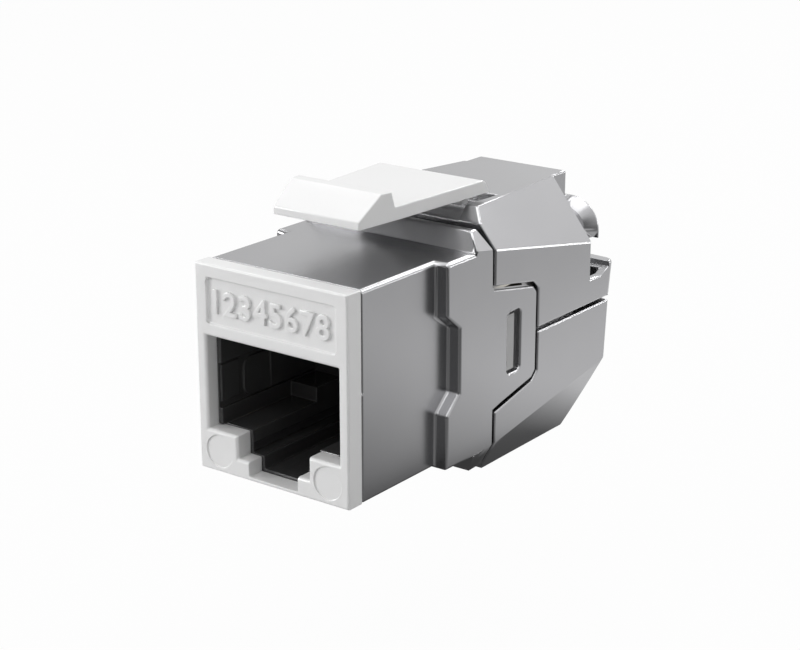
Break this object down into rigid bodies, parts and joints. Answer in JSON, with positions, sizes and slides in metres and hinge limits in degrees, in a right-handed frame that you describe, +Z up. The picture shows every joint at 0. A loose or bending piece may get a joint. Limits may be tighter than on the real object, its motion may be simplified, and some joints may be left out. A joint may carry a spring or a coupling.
{
  "type": "shielded keystone jack",
  "caption": "Shielded keystone jack with a cast metal body, a pale bezel round a black port, a white panel latch and a hinged lower wing that closes on the wires without a tool",
  "frame": {"origin": "middle of the lower edge of the bezel's front face, where the panel's opening is measured from", "axes": "+X right seen from the front, +Y towards the cable, +Z up"},
  "size_m": [0.0168, 0.0356, 0.0244],
  "materials": {
    "bezel_plastic": "fine satin moulding",
    "insert_plastic": "glossy black",
    "gold": "gold plated spring wire",
    "board_laminate": "green solder mask",
    "frame_plastic": "plain moulding",
    "blade_bronze": "tinned bronze",
    "cast_metal": "satin nickel over a zinc casting",
    "steel_pin": "ground",
    "latch_plastic": "satin white"
  },
  "bodies": {
    "jack_body": {"front_bezel": "bezel_plastic", "port_insert": "insert_plastic", "circuit_board": "board_laminate", "carrier_frame": "frame_plastic", "front_housing": "cast_metal", "upper_shell": "cast_metal", "hinge_pin": "steel_pin", "idc_blade_1": "blade_bronze", "idc_blade_2": "blade_bronze", "idc_blade_3": "blade_bronze", "idc_blade_4": "blade_bronze", "idc_blade_5": "blade_bronze", "idc_blade_6": "blade_bronze", "idc_blade_7": "blade_bronze", "idc_blade_8": "blade_bronze"},
    "wing": {"lower_wing": "cast_metal", "wire_holder": "frame_plastic"},
    "latch": {"latch_lever": "latch_plastic"},
    "contact_springs": {"contact_1": "gold", "contact_2": "gold", "contact_3": "gold", "contact_4": "gold", "contact_5": "gold", "contact_6": "gold", "contact_7": "gold", "contact_8": "gold"}
  },
  "joints": [
    {"name": "wing_hinge", "type": "hinge", "parent": "jack_body", "child": "wing", "pos_m": [0, 0.0188, -0.00145], "axis": [-1, 0, 0], "range_deg": [0, 85]},
    {"name": "latch_flex", "type": "hinge", "parent": "jack_body", "child": "latch", "pos_m": [0, 0.021, 0.0193], "axis": [1, 0, 0], "range_deg": [0, 7.5], "stiffness_Nm_per_rad": 0.02},
    {"name": "contact_flex", "type": "hinge", "parent": "jack_body", "child": "contact_springs", "pos_m": [0, 0.015, 0.0116], "axis": [-1, 0, 0], "range_deg": [0, 5], "stiffness_Nm_per_rad": 0.002}
  ]
}
